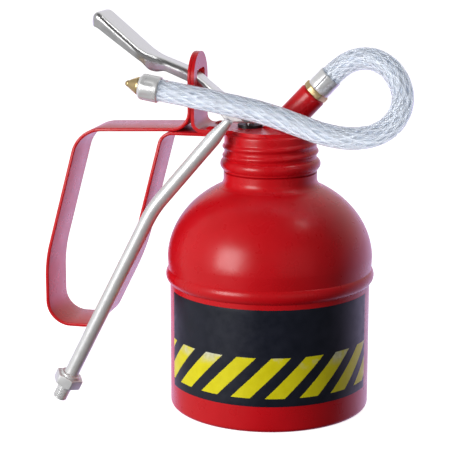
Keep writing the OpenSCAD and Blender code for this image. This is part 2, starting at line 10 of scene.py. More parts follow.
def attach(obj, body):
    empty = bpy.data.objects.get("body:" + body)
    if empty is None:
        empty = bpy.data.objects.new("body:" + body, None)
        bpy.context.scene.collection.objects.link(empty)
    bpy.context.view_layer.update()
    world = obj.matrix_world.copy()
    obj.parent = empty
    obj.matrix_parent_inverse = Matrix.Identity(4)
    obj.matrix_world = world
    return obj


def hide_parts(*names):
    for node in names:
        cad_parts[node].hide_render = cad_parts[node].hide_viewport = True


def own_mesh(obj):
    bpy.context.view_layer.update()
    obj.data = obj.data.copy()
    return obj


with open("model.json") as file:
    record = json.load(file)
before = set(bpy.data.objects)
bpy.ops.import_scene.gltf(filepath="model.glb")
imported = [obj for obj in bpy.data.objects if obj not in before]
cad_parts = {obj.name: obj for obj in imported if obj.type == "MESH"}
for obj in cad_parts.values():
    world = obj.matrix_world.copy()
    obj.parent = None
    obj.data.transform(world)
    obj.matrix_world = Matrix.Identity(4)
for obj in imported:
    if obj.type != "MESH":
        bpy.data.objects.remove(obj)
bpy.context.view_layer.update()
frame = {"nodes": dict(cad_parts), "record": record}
NODES = frame["nodes"]
SCENE = bpy.context.scene
MM = 0.001


def vec(*p):
    """A point given in millimetres."""
    return Vector(p) * MM


# ------------------------------------------------------------------ camera

def make_camera():
    """Long lens in front of the can, a little to the right and above."""
    turn, pitch, distance = math.radians(13.5), math.radians(12.6), 696
    target = vec(-19.03, -4.57, 80)
    back = Vector((math.sin(turn) * math.cos(pitch), -math.cos(turn) * math.cos(pitch), math.sin(pitch)))
    data = bpy.data.cameras.new("camera")
    data.sensor_width = 36
    data.lens = 128
    data.clip_start = 0.05
    data.clip_end = 20
    camera = bpy.data.objects.new("camera", data)
    SCENE.collection.objects.link(camera)
    camera.location = target + back * distance * MM
    camera.rotation_euler = back.to_track_quat("Z", "Y").to_euler()
    SCENE.camera = camera


make_camera()


# ------------------------------------------------------------------ curves and profiles

def smooth_path(points, steps):
    """Catmull-Rom curve through the points, with steps pieces between each pair."""
    pts = [Vector(p) for p in points]
    ends = [2 * pts[0] - pts[1]] + pts + [2 * pts[-1] - pts[-2]]
    out = []
    for i in range(len(pts) - 1):
        a, b, c, d = ends[i:i + 4]
        for k in range(steps):
            t = k / steps
            out.append(0.5 * ((2 * b) + (c - a) * t + (2 * a - 5 * b + 4 * c - d) * t * t
                              + (3 * b - a - 3 * c + d) * t ** 3))
    out.append(pts[-1])
    return out


# A direction that no path starts along
AWAY = Vector((-0.3, 0.9, 0.3))


def frames_along(path):
    """Tangent, side and up at every point of a path, without twist."""
    out = []
    side = None
    last = len(path) - 1
    for i, p in enumerate(path):
        d = (path[min(i + 1, last)] - path[max(i - 1, 0)]).normalized()
        if side is None:
            side = d.cross(AWAY).normalized()
        side = (side - d * side.dot(d)).normalized()
        out.append((p, d, side, d.cross(side)))
    return out


def arc(x, y, r, a, b, n):
    """Points on an arc round (x, y), from angle a to b in degrees."""
    return [(x + r * math.cos(math.radians(a + (b - a) * i / n)),
             y + r * math.sin(math.radians(a + (b - a) * i / n))) for i in range(n + 1)]


def ellipse(y, p, q, a, b, n):
    """Points on an ellipse round (0, y)."""
    return [(p * math.cos(math.radians(a + (b - a) * i / n)),
             y + q * math.sin(math.radians(a + (b - a) * i / n))) for i in range(n + 1)]


def fillet(a, b, c, r, n):
    """Corner b of a polyline rounded to radius r."""
    a, b, c = Vector(a), Vector(b), Vector(c)
    u, v = (a - b).normalized(), (c - b).normalized()
    half = u.angle(v) / 2
    if abs(half - math.pi / 2) < 0.005:
        return [b.copy()]
    reach = min(r / math.tan(half), 0.45 * (a - b).length, 0.45 * (c - b).length)
    r = reach * math.tan(half)
    m = b + (u + v).normalized() * (r / math.sin(half))
    start, end = b + u * reach - m, b + v * reach - m
    s = math.atan2(start.y, start.x)
    e = math.atan2(end.y, end.x)
    while e - s > math.pi:
        e -= 2 * math.pi
    while e - s < -math.pi:
        e += 2 * math.pi
    return [m + r * Vector((math.cos(s + (e - s) * i / n), math.sin(s + (e - s) * i / n)))
            for i in range(n + 1)]


def rounded(route, radii, n=10):
    """Open polyline with rounded inner corners."""
    out = [Vector(route[0])]
    for i in range(1, len(route) - 1):
        out += fillet(route[i - 1], route[i], route[i + 1], radii[i - 1], n)
    return out + [Vector(route[-1])]


def soft_loop(points, r, n=3):
    """Closed outline with every corner rounded a little."""
    count = len(points)
    out = []
    for i in range(count):
        out += fillet(points[i - 1], points[i], points[(i + 1) % count], r, n)
    return out


# ------------------------------------------------------------------ mesh pieces

def add_piece(name, mesh, mat, body, replaced=(), sharp=35):
    """Links a mesh as a piece that rides on a body."""
    bm = bmesh.new()
    bm.from_mesh(mesh)
    bmesh.ops.remove_doubles(bm, verts=bm.verts, dist=2e-7)
    bmesh.ops.dissolve_degenerate(bm, edges=bm.edges, dist=1e-7)
    bmesh.ops.recalc_face_normals(bm, faces=bm.faces)
    bm.to_mesh(mesh)
    bm.free()
    mesh.shade_smooth()
    mesh.set_sharp_from_angle(angle=math.radians(sharp))
    obj = bpy.data.objects.new(name, mesh)
    SCENE.collection.objects.link(obj)
    mesh.materials.clear()
    mesh.materials.append(mat)
    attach(obj, body)
    if replaced:
        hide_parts(*replaced)
    return obj


def raw_mesh(name, verts, faces, uvs=None):
    """A mesh from points in millimetres, with one UV pair per point."""
    mesh = bpy.data.meshes.new(name)
    mesh.from_pydata([Vector(v) * MM for v in verts], [], faces)
    if uvs:
        layer = mesh.uv_layers.new(name="length")
        for loop in mesh.loops:
            layer.data[loop.index].uv = uvs[loop.vertex_index]
    return mesh


def closed(mesh, weld=1e-7):
    """Turns faces outwards and merges points nearer than weld, such as a lathe's on its axis."""
    bm = bmesh.new()
    bm.from_mesh(mesh)
    if weld:
        bmesh.ops.remove_doubles(bm, verts=bm.verts, dist=weld)
    bmesh.ops.recalc_face_normals(bm, faces=bm.faces)
    bm.to_mesh(mesh)
    bm.free()
    return mesh


def joined(name, meshes):
    """One mesh that holds several."""
    bm = bmesh.new()
    for mesh in meshes:
        bm.from_mesh(mesh)
    whole = bpy.data.meshes.new(name)
    bm.to_mesh(whole)
    bm.free()
    return whole


def ring_faces(start, rings, n):
    """Quads between closed rings of n points each, the first ring's points beginning at start."""
    faces = []
    for i in range(rings - 1):
        a, b = start + i * n, start + (i + 1) * n
        for k in range(n):
            m = (k + 1) % n
            faces.append((a + k, b + k, b + m, a + m))
    return faces


def lathe(name, profile, steps=180, place=None, warp=None):
    """Closed (radius, height) outline turned round +Z, then placed by a matrix in millimetres."""
    count = len(profile)
    verts = []
    for i in range(steps):
        t = 2 * math.pi * i / steps
        for r, z in profile:
            if warp:
                r = warp(r, z, t)
            verts.append(Vector((r * math.cos(t), r * math.sin(t), z)))
    faces = []
    for i in range(steps):
        a, b = i * count, (i + 1) % steps * count
        for k in range(count):
            m = (k + 1) % count
            faces.append((a + k, b + k, b + m, a + m))
    if place:
        verts = [place @ v for v in verts]
    return raw_mesh(name, verts, faces)


def prism(name, outline, depth, axes="xz"):
    """Closed outline given a depth, centred, square to its plane."""
    count = len(outline)
    verts = []
    for s in (-0.5, 0.5):
        for p in outline:
            if axes == "xz":
                verts.append((p[0], s * depth, p[1]))
            elif axes == "yz":
                verts.append((s * depth, p[0], p[1]))
            else:
                verts.append((p[0], p[1], s * depth))
    faces = [tuple(range(count)), tuple(range(2 * count - 1, count - 1, -1))]
    faces += [(k, (k + 1) % count, count + (k + 1) % count, count + k) for k in range(count)]
    return closed(raw_mesh(name, verts, faces), weld=0)


def moved(mesh, matrix):
    """The mesh under a matrix given in millimetres."""
    scale = Matrix.Scale(MM, 4)
    mesh.transform(scale @ matrix @ scale.inverted())
    return mesh


def carve(base, tools, edge=0.0, segments=3, angle=30):
    """Base mesh with tools applied as booleans, then its sharp edges rounded."""
    body = bpy.data.objects.new("carve", base)
    SCENE.collection.objects.link(body)
    helpers = []
    for i, (operation, mesh) in enumerate(tools):
        helper = bpy.data.objects.new("carve_tool", mesh)
        SCENE.collection.objects.link(helper)
        helpers.append(helper)
        cut = body.modifiers.new("cut%d" % i, "BOOLEAN")
        cut.operation = operation
        cut.solver = "EXACT"
        cut.object = helper
    if edge:
        bevel = body.modifiers.new("edge", "BEVEL")
        bevel.width = edge * MM
        bevel.segments = segments
        bevel.limit_method = "ANGLE"
        bevel.angle_limit = math.radians(angle)
        bevel.harden_normals = False
    graph = bpy.context.evaluated_depsgraph_get()
    result = bpy.data.meshes.new_from_object(body.evaluated_get(graph))
    for item in helpers + [body]:
        bpy.data.objects.remove(item)
    return result


def tube_mesh(name, path, radius, bore, n):
    """Tube along a path; radius and bore are each one value or a list with one per point."""
    rings = frames_along(path)
    inside, last = len(rings) * n, (len(rings) - 1) * n
    verts, uvs, faces = [], [], []
    for shell in (radius, bore):
        run, start = 0.0, len(verts)
        for i, (p, _, side, up) in enumerate(rings):
            if i:
                run += (p - rings[i - 1][0]).length
            r = shell[i] if isinstance(shell, list) else shell
            for k in range(n):
                t = 2 * math.pi * k / n
                verts.append(p + side * (r * math.cos(t)) + up * (r * math.sin(t)))
                uvs.append((run, k / n))
        faces += ring_faces(start, len(rings), n)
    for e in (0, last):
        for k in range(n):
            m = (k + 1) % n
            faces.append((e + k, e + m, inside + e + m, inside + e + k))
    return raw_mesh(name, verts, faces, uvs)


# ------------------------------------------------------------------ materials

def new_material(name):
    """A material with its node tree and its one shader."""
    mat = bpy.data.materials.new(name)
    mat.use_nodes = True
    tree = mat.node_tree
    shader = tree.nodes["Principled BSDF"]
    return mat, tree, shader


def node(tree, kind, **values):
    """A new node; each value goes to the socket of that name, or else to the property."""
    item = tree.nodes.new(kind)
    for key, value in values.items():
        if key in item.inputs:
            item.inputs[key].default_value = value
        else:
            setattr(item, key, value)
    return item


def noise(tree, scale, detail, stretch=None):
    """Noise in object space; stretch multiplies the coordinates."""
    coords = node(tree, "ShaderNodeTexCoord").outputs["Object"]
    if stretch:
        mapping = node(tree, "ShaderNodeMapping")
        mapping.inputs["Scale"].default_value = stretch
        tree.links.new(coords, mapping.inputs["Vector"])
        coords = mapping.outputs["Vector"]
    tex = node(tree, "ShaderNodeTexNoise", Scale=scale, Detail=detail)
    tree.links.new(coords, tex.inputs["Vector"])
    return tex.outputs["Fac"]


def ramp(tree, source, stops):
    """Colour ramp fed by a value; stops are (position, colour)."""
    item = node(tree, "ShaderNodeValToRGB")
    elements = item.color_ramp.elements
    while len(elements) < len(stops):
        elements.new(0.5)
    for element, (place, colour) in zip(elements, stops):
        element.position = place
        element.color = tuple(colour) + (1,) if len(colour) == 3 else colour
    tree.links.new(source, item.inputs["Fac"])
    return item.outputs["Color"]


def remap(tree, source, low, high, start=0.3, stop=0.7):
    """Carries start..stop of a value to low..high, and holds it there beyond."""
    item = node(tree, "ShaderNodeMapRange")
    item.inputs["From Min"].default_value = start
    item.inputs["From Max"].default_value = stop
    item.inputs["To Min"].default_value = low
    item.inputs["To Max"].default_value = high
    tree.links.new(source, item.inputs["Value"])
    return item.outputs["Result"]


def mixed(tree, factor, under, over, kind="MIX"):
    """Two colours mixed; the factor and the colours are sockets or constants."""
    item = node(tree, "ShaderNodeMix", data_type="RGBA", blend_type=kind)
    for index, value in ((0, factor), (6, under), (7, over)):
        if isinstance(value, bpy.types.NodeSocket):
            tree.links.new(value, item.inputs[index])
        else:
            item.inputs[index].default_value = value
    return item.outputs[2]


def add_bump(tree, shader, height, distance):
    """Surface relief from a height between 0 and 1; distance is in metres."""
    item = node(tree, "ShaderNodeBump", Strength=1.0, Distance=distance)
    tree.links.new(height, item.inputs["Height"])
    tree.links.new(item.outputs["Normal"], shader.inputs["Normal"])


def paint(name, dark, light, rough):
    """Powder coat: fine grain and slight mottling."""
    mat, tree, shader = new_material(name)
    colour = ramp(tree, noise(tree, 70, 2), [(0.3, dark), (0.7, light)])
    tree.links.new(colour, shader.inputs["Base Color"])
    tree.links.new(remap(tree, noise(tree, 150, 2), rough - 0.02, rough + 0.04), shader.inputs["Roughness"])
    shader.inputs["IOR"].default_value = 1.5
    shader.inputs["Specular IOR Level"].default_value = 0.4
    shader.inputs["Sheen Weight"].default_value = 0.06
    shader.inputs["Sheen Roughness"].default_value = 0.3
    shader.inputs["Sheen Tint"].default_value = (0.72, 0.60, 1.0, 1)
    add_bump(tree, shader, noise(tree, 320, 1), 0.000002)
    return mat


def metal(name, dark, light, rough, shine=1.0, stretch=(1, 1, 1), scale=260, scratch=0.0000002):
    """Plated or turned metal with fine directional marks; a low shine is a frosted plating."""
    mat, tree, shader = new_material(name)
    marks = noise(tree, scale, 3, stretch=stretch)
    colour = ramp(tree, marks, [(0.25, dark), (0.75, light)])
    tree.links.new(colour, shader.inputs["Base Color"])
    shader.inputs["Metallic"].default_value = shine
    tree.links.new(remap(tree, marks, rough - 0.02, rough + 0.05), shader.inputs["Roughness"])
    add_bump(tree, shader, noise(tree, scale * 4, 2, stretch=stretch), scratch)
    return mat


def plastic(name, dark, light, rough, scale=500, peel=0.000005):
    """Moulded black plastic or rubber with a fine orange peel."""
    mat, tree, shader = new_material(name)
    marks = noise(tree, scale, 4)
    tree.links.new(ramp(tree, marks, [(0.3, dark), (0.7, light)]), shader.inputs["Base Color"])
    tree.links.new(remap(tree, marks, rough - 0.05, rough + 0.08), shader.inputs["Roughness"])
    add_bump(tree, shader, marks, peel)
    return mat


RED = paint("red_paint", (0.64, 0.0035, 0.008), (0.70, 0.0045, 0.011), 0.28)
NICKEL = metal("satin_nickel", (0.73, 0.73, 0.73), (0.78, 0.78, 0.78), 0.30, stretch=(1, 5, 1))
BRIGHT = metal("polished_nickel", (0.88, 0.88, 0.88), (0.93, 0.93, 0.93), 0.28, 0.45)
ZINC = metal("satin_zinc", (0.80, 0.80, 0.80), (0.86, 0.86, 0.86), 0.38, 0.4)
STEEL = metal("polished_steel", (0.58, 0.58, 0.585), (0.68, 0.68, 0.685), 0.2)
CAST = metal("pump_metal", (0.45, 0.46, 0.47), (0.58, 0.59, 0.60), 0.42, scratch=0.00001)
BRASS = metal("brass", (0.62, 0.46, 0.22), (0.72, 0.55, 0.29), 0.30, 0.8)
BLACK = plastic("black_plastic", (0.006, 0.006, 0.007), (0.014, 0.014, 0.015), 0.4)
RUBBER = plastic("black_rubber", (0.008, 0.008, 0.008), (0.018, 0.017, 0.016), 0.7)


def hose_material():
    """Clear plastic wall with a faint blue tint."""
    mat, tree, shader = new_material("clear_hose")
    cloud = noise(tree, 140, 3)
    tree.links.new(ramp(tree, cloud, [(0.3, (0.96, 0.975, 0.99)), (0.7, (0.985, 0.99, 1.0))]),
                   shader.inputs["Base Color"])
    shader.inputs["Transmission Weight"].default_value = 0.9
    shader.inputs["IOR"].default_value = 1.2
    tree.links.new(remap(tree, cloud, 0.10, 0.2), shader.inputs["Roughness"])
    add_bump(tree, shader, noise(tree, 420, 2), 0.00002)
    return mat


def thread_material():
    """White reinforcing yarn inside the hose wall, with a painted glow: a faint bluish emission that makes it
    brighter than its lighting.
    """
    mat, tree, shader = new_material("hose_yarn")
    twist = noise(tree, 1800, 2)
    tree.links.new(ramp(tree, twist, [(0.3, (0.82, 0.87, 0.96)), (0.7, (0.93, 0.96, 1.0))]),
                   shader.inputs["Base Color"])
    shader.inputs["Roughness"].default_value = 0.5
    tree.links.new(remap(tree, noise(tree, 120, 2), 0.32, 0.62), shader.inputs["Alpha"])
    # Painted light: a faint bluish glow that makes the yarn brighter than the lamps light it
    shader.inputs["Emission Color"].default_value = (0.80, 0.88, 1.0, 1)
    shader.inputs["Emission Strength"].default_value = 0.12
    add_bump(tree, shader, twist, 0.00001)
    return mat


def liner_material():
    """Cloudy inner layer of the hose."""
    mat, tree, shader = new_material("hose_liner")
    cloud = noise(tree, 220, 4)
    tree.links.new(ramp(tree, cloud, [(0.3, (0.66, 0.75, 0.90)), (0.7, (0.90, 0.94, 1.0))]),
                   shader.inputs["Base Color"])
    shader.inputs["Roughness"].default_value = 0.4
    shader.inputs["Alpha"].default_value = 0.6
    add_bump(tree, shader, cloud, 0.00001)
    return mat


HOSE = hose_material()
YARN = thread_material()
LINER = liner_material()


# ------------------------------------------------------------------ hose

HOSE_R, HOSE_GAP, WALL_BORE = 4.75, 0.02, 2.9
LINER_R, LINER_BORE = 3.35, 2.95
HOSE_ROUTE = [
    (20.6, 0, 140.06), (23.3, 0, 143), (26.1, 0, 145.9), (29, -0.5, 148.7), (32.5, -1.5, 151.3),
    (36.5, -2.8, 153.2), (41, -4.3, 154.1), (45.5, -6, 153.8), (50, -8, 152), (53.8, -9.8, 149),
    (56.6, -11.8, 145), (58.1, -13.7, 140.6), (58.1, -15.8, 136), (56.5, -17.8, 131.6),
    (53.4, -19.7, 127.9), (49.2, -21.4, 125.3), (44.2, -22.7, 123.9), (38.5, -23.5, 123.4),
    (32, -24, 124), (25, -24.1, 125.5), (17, -24, 128), (8, -23.7, 130.9), (-2, -23.2, 133.5),
    (-12.5, -22.7, 135.4), (-23, -22.3, 137.2), (-33, -22.1, 138.9), (-43, -22, 140.6),
    (-50.9, -22, 141.94)]
HOSE_PATH = smooth_path(HOSE_ROUTE, 6)


def braid_mesh():
    """Flat yarns in two layers, wound against each other."""
    strands, per_turn, sides = 9, 76.0, 4
    radius, layer, lead_r, half_t, half_w = 3.75, 0.12, 3.8, 0.14, 0.72
    rings = frames_along(HOSE_PATH)
    verts, faces = [], []
    for way in (1, -1):
        for s in range(strands):
            run, start = 0.0, len(verts)
            for i, (p, d, side, up) in enumerate(rings):
                if i:
                    run += (p - rings[i - 1][0]).length
                t = way * 2 * math.pi * (run / per_turn + s / strands)
                out = side * math.cos(t) + up * math.sin(t)
                along = (d + way * (d.cross(out)) * (2 * math.pi * lead_r / per_turn)).normalized()
                across = along.cross(out)
                centre = p + out * (radius + layer * way)
                for k in range(sides):
                    a = 2 * math.pi * k / sides + math.pi / 4
                    verts.append(centre + out * (half_t * math.cos(a)) + across * (half_w * math.sin(a)))
            faces += ring_faces(start, len(rings), sides)
            for end in (start, len(verts) - sides):
                faces.append(tuple(end + k for k in range(sides)))
    return raw_mesh("hose_braid", verts, faces)


def make_hose():
    """Clear wall, braid and cloudy liner, from the outside in."""
    wall = add_piece("hose_wall", tube_mesh("hose_wall", HOSE_PATH, HOSE_R - HOSE_GAP, WALL_BORE, 40), HOSE,
                     "pump", ("hose",), sharp=60)
    braid = add_piece("hose_braid", braid_mesh(), YARN, "pump", sharp=80)
    liner = add_piece("hose_liner", tube_mesh("hose_liner", HOSE_PATH, LINER_R, LINER_BORE, 32), LINER,
                      "pump", sharp=60)
    return wall, braid, liner


hose_wall, hose_braid, hose_liner = make_hose()


# ------------------------------------------------------------------ can

CAN_R, SHEET, FOOT_R, CUP_TOP = 43.5, 0.8, 2, 58
# The dome is part of an ellipse, and a hollow fairing leads it into the neck
DOME_Z, DOME_A, DOME_B = 65.7, 44.6, 37
FAIR_X, FAIR_Z, FAIR_R = 23.9, 101.1, 3.7
NECK_R, NECK_BORE, NECK_TOP = 18.5, 17.7, 118.3
SEAM_R = CAN_R + 0.03


def make_can():
    """Cup with its rolled foot, and the dome and neck that are seamed over it."""
    cup = [(0, 0), (33, 0), (34, 1.1), (36.5, 1.1), (37.5, 0)]
    cup += arc(CAN_R - FOOT_R, FOOT_R, FOOT_R, -90, 0, 12)
    cup += [(CAN_R, z) for z in (11, 24, 40, 54.5, CUP_TOP)]
    cup += [(CAN_R - SHEET, CUP_TOP)] + arc(CAN_R - FOOT_R, FOOT_R, FOOT_R - SHEET, 0, -90, 6)
    cup += [(38, SHEET), (37, 1.1 + SHEET), (33.5, 1.1 + SHEET), (32.5, SHEET), (0, SHEET)]
    add_piece("can_cup", lathe("can_cup", cup, 240), RED, "can", ("can_base",))
    shell = [(SEAM_R, 55.6)] + arc(CAN_R - 2, 59, 3.88, -50, 44, 18)
    shell += ellipse(DOME_Z, DOME_A, DOME_B, 2, 60, 48)
    shell += arc(FAIR_X, FAIR_Z, FAIR_R, 244, 180, 12)
    shell += [(20.2, 103.8), (NECK_R, 104.9)]
    for z in (108.2, 112, 115.8):
        shell += arc(18.3, z, 0.6, -70, 70, 6)
    shell += [(NECK_R, NECK_TOP), (NECK_BORE, NECK_TOP), (NECK_BORE, 104.5), (19.4, 103.2)]
    shell += arc(FAIR_X, FAIR_Z, FAIR_R + SHEET, 180, 244, 8)
    shell += ellipse(DOME_Z, DOME_A - SHEET, DOME_B - SHEET, 60, -8, 30) + [(SEAM_R, 58.1)]
    add_piece("can_shoulder", lathe("can_shoulder", shell, 240), RED, "can", ("can_dome",))


STRIPE_PITCH, STRIPE_WIDTH, STRIPE_SHIFT, STRIPE_SLANT = 14.7, 8.5, 4.9, 0.98
STRIPE_LOW, STRIPE_HIGH = 15.2, 33.0


def label_material():
    """Dark printed film with slanted yellow stripes and an empty field; u and v are millimetres."""
    mat, tree, shader = new_material("label_print")
    parts = node(tree, "ShaderNodeSeparateXYZ")
    tree.links.new(node(tree, "ShaderNodeUVMap", uv_map="length").outputs["UV"], parts.inputs["Vector"])
    u, v = parts.outputs["X"], parts.outputs["Y"]

    def calc(kind, a, b=0.0, clamp=False):
        item = node(tree, "ShaderNodeMath", operation=kind, use_clamp=clamp)
        for socket, value in zip(item.inputs, (a, b)):
            if isinstance(value, (int, float)):
                socket.default_value = value
            else:
                tree.links.new(value, socket)
        return item.outputs["Value"]

    # How sharp the stripes' sides, their ends and the rubbed patches are; the cells keep the count positive
    side_edge, end_edge, patch_edge, cells = 60, 6, 9, 40
    rough_edge = remap(tree, noise(tree, 1500, 3), -0.10, 0.10)
    slant = calc("SUBTRACT", calc("SUBTRACT", u, calc("MULTIPLY", v, STRIPE_SLANT)), rough_edge)
    cell = calc("DIVIDE", calc("ADD", slant, cells * STRIPE_PITCH + STRIPE_SHIFT), STRIPE_PITCH)
    off_centre = calc("ABSOLUTE", calc("SUBTRACT", calc("FRACT", cell), 0.5))
    inside = calc("MULTIPLY", calc("SUBTRACT", STRIPE_WIDTH / STRIPE_PITCH / 2, off_centre), side_edge, True)
    low = calc("MULTIPLY", calc("SUBTRACT", v, STRIPE_LOW), end_edge, True)
    high = calc("MULTIPLY", calc("SUBTRACT", STRIPE_HIGH, v), end_edge, True)
    stripe = calc("MULTIPLY", inside, calc("MULTIPLY", low, high))
    dark = ramp(tree, noise(tree, 150, 4), [(0.3, (0.008, 0.010, 0.019)), (0.7, (0.014, 0.016, 0.029))])
    yellow = ramp(tree, noise(tree, 240, 4), [(0.3, (0.84, 0.74, 0.004)), (0.7, (0.92, 0.82, 0.010))])
    pale = ramp(tree, noise(tree, 700, 4), [(0.3, (0.62, 0.62, 0.40)), (0.7, (0.85, 0.84, 0.70))])
    patches = noise(tree, 95, 4)
    top_end = remap(tree, v, 0.0, 1.0, STRIPE_HIGH - 6, STRIPE_HIGH)
    rubbed = calc("MULTIPLY", calc("MULTIPLY", calc("SUBTRACT", patches, 0.50), patch_edge, True), top_end)
    print_colour = mixed(tree, stripe, dark, mixed(tree, rubbed, yellow, pale))
    tree.links.new(print_colour, shader.inputs["Base Color"])
    tree.links.new(remap(tree, noise(tree, 300, 3), 0.32, 0.45), shader.inputs["Roughness"])
    shader.inputs["IOR"].default_value = 1.4
    add_bump(tree, shader, noise(tree, 1500, 2), 0.000004)
    return mat


def make_label():
    """Printed film round the front of the cup; half and turn are degrees round the can."""
    z0, z1, half, turn, film = 11.7, 53.5, 70.5, 11.5, 0.15
    columns, rows = 120, 40
    verts, uvs, faces = [], [], []
    for side in (film, 0.0):
        for i in range(columns + 1):
            a = -half + 2 * half * i / columns
            angle = math.radians(-90 + turn + a)
            for k in range(rows + 1):
                z = z0 + (z1 - z0) * k / rows
                r = CAN_R + (side if 0 < i < columns and 0 < k < rows else side * 0.5)
                verts.append((r * math.cos(angle), r * math.sin(angle), z))
                uvs.append((math.radians(a) * CAN_R, z))
    block = (columns + 1) * (rows + 1)
    for s in (0, block):
        for i in range(columns):
            for k in range(rows):
                a = s + i * (rows + 1) + k
                b = a + rows + 1
                faces.append((a, b, b + 1, a + 1))
    for i in range(columns):
        for k in (0, rows):
            a = i * (rows + 1) + k
            b = a + rows + 1
            faces.append((a, b, block + b, block + a))
    for k in range(rows):
        for i in (0, columns):
            a = i * (rows + 1) + k
            faces.append((a, a + 1, block + a + 1, block + a))
    add_piece("can_label", raw_mesh("can_label", verts, faces, uvs), label_material(), "can",
              ("label",), sharp=80)


make_can()
make_label()


# ------------------------------------------------------------------ screw cap

# The cap's top, the top of the plate on it, and where the rod and the outlet stand along X
CAP_TOP, PLATE_TOP, ROD_X, OUTLET_X = 121.3, 122.8, -9, 4.5


def cap_ridge(z, t):
    """Height of the rolled thread at height z and angle t."""
    turns = t / (2 * math.pi)
    pitch, first, low, high, fade_out, half_width, rise = 3.95, 112.9, 110.2, 117.2, 0.8, 1.45, 0.85
    best = 0.0
    for k in (-1, 0, 1):
        centre = first + pitch * (turns + k)
        if centre < low or centre > high:
            continue
        gap = abs(z - centre)
        fade = min(1.0, (centre - low) / fade_out + 0.2, (high - centre) / fade_out)
        best = max(best, fade * max(0.0, math.cos(min(gap / half_width, 1) * math.pi / 2)) ** 1.2)
    return rise * best


def make_cap():
    """Pressed cap with a bead below and one rolled thread."""
    wall_r, wall_z0, wall_z1, step = 19.9, 110.1, 119.3, 0.25
    outer = [(20.3, 104.6), (20.3, 104.7)] + arc(18.9, 107.5, 2.75, -58, 62, 14)
    z = wall_z0
    while z < wall_z1:
        outer.append((wall_r, z))
        z += step
    outer += arc(18.7, 120.1, 1.2, 0, 90, 8)
    inner = [(0, CAP_TOP), (0, 120.1), (19.2, 120.1), (19.2, 110.4), (20.3, 109), (20.6, 107.5)]

    def warp(r, z, t):
        return r + (cap_ridge(z, t) if abs(r - wall_r) < 0.01 and z < 119.4 else 0)

    add_piece("cap_shell", lathe("cap_shell", outer + inner, 240, warp=warp), RED, "pump",
              ("screw_cap",), sharp=50)


make_cap()


# ------------------------------------------------------------------ bent strips

STRIP_W, STRIP_T, STRIP_GAP, TAB_X = 24.0, 1.5, 0.02, -32.3


def strip_outline(line, t):
    """Closed outline of a strip of thickness t along its middle line."""
    last = len(line) - 1
    left, right = [], []
    for i, p in enumerate(line):
        d = (line[min(i + 1, last)] - line[max(i - 1, 0)]).normalized()
        n = Vector((-d.y, d.x)) * t / 2
        left.append(p + n)
        right.append(p - n)
    return left + right[::-1]


def tab_cutter(name, outline):
    """A (y, z) outline as a cutter through the bracket's tab."""
    return ("DIFFERENCE", moved(prism(name, outline, 8, "yz"), Matrix.Translation((TAB_X, 0, 0))))


def corner_cutters():
    """Two prisms along X that leave the bracket's top corners round."""
    r, side, top = 11.6, STRIP_W / 2, 154.9
    tools = []
    for s in (-1, 1):
        curve = [(s * y, z) for y, z in arc(side - r, top - r, r, 0, 90, 20)]
        inner_y, outer_y = s * (side - r - 6), s * (side + 4)
        tools.append(tab_cutter("corner", curve + [(inner_y, top), (inner_y, top + 4), (outer_y, top + 4),
                                                   (outer_y, top - r)]))
    return tools


def slot_cutter():
    """The lever's slot, with round upper corners."""
    half, z0, z1, corner = 6.75, 140.4, 147.6, 2
    outline = [(-half, z0), (half, z0)] + arc(half - corner, z1 - corner, corner, 0, 90, 6) \
        + arc(-half + corner, z1 - corner, corner, 90, 180, 6)
    return [tab_cutter("slot", outline)]


def make_strips():
    """The handle's loop, and the bracket with the plate on the cap."""
    route = [(-33.05, 156), (-33.05, 122.5), (-82.9, 120.6), (-98.8, 61.3), (-98.8, 32.4),
             (-75.7, 32.4), (-59.7, 64.8), (-45.2, 120.55), (-21.9, 120.55)]
    line = rounded(route, [8, 14, 60, 16, 11, 100, 6], 14)
    mesh = prism("handle_loop", strip_outline(line, STRIP_T - STRIP_GAP), STRIP_W - STRIP_GAP)
    mesh = carve(mesh, corner_cutters() + slot_cutter(), 0.4)
    add_piece("handle_loop", mesh, RED, "pump", ("handle_strip",), sharp=40)
    line = rounded([(-31.55, 156), (-31.55, 122.05), (-14, 122.05)], [4], 14)
    mesh = prism("lever_tab", strip_outline(line, STRIP_T - STRIP_GAP), STRIP_W - STRIP_GAP)
    plate = closed(lathe("disc", [(0, 121.31), (18.6, 121.31), (18.6, 122.79), (0, 122.79)], 160))
    holes = [("DIFFERENCE", moved(lathe("hole", [(0, 115), (r, 115), (r, 130), (0, 130)], 48),
                                  Matrix.Translation((x, 0, 0)))) for x, r in ((ROD_X, 3.6), (OUTLET_X, 3.5))]
    mesh = carve(mesh, corner_cutters() + slot_cutter() + [("UNION", plate)] + holes, 0.35)
    add_piece("lever_tab", mesh, RED, "pump", ("lever_bracket",), sharp=40)


make_strips()


# ------------------------------------------------------------------ lever

# Side view of the lever's top and lower edges, and its half widths, along X
LEVER_TOP = [(-77.2, 168.4), (-76.6, 170.2), (-74.9, 171.4), (-73.2, 171), (-53.5, 154.4), (-34, 147.2),
             (-15, 131.65)]
LEVER_BOTTOM = [(-77.2, 165.5), (-74.3, 164.5), (-54.6, 150.3), (-52, 147), (-49.2, 146.1), (-45.6, 146.6),
                (-34.1, 141.8), (-31.3, 141), (-29.9, 139.9), (-17.9, 125.5), (-15, 125.5)]
LEVER_PLAN = [(-77.2, 6.5), (-76.2, 8.6), (-74, 9.7), (-70, 10), (-57, 10), (-53, 8.9), (-49, 6.7), (-46, 6),
              (-28, 6), (-20, 6.8), (-15, 6.8)]


def at(line, x):
    """Value at x on a polyline of (x, value) points."""
    for (x0, y0), (x1, y1) in zip(line, line[1:]):
        if x <= x1:
            return y0 + (y1 - y0) * max(0.0, (x - x0) / (x1 - x0))
    return line[-1][1]


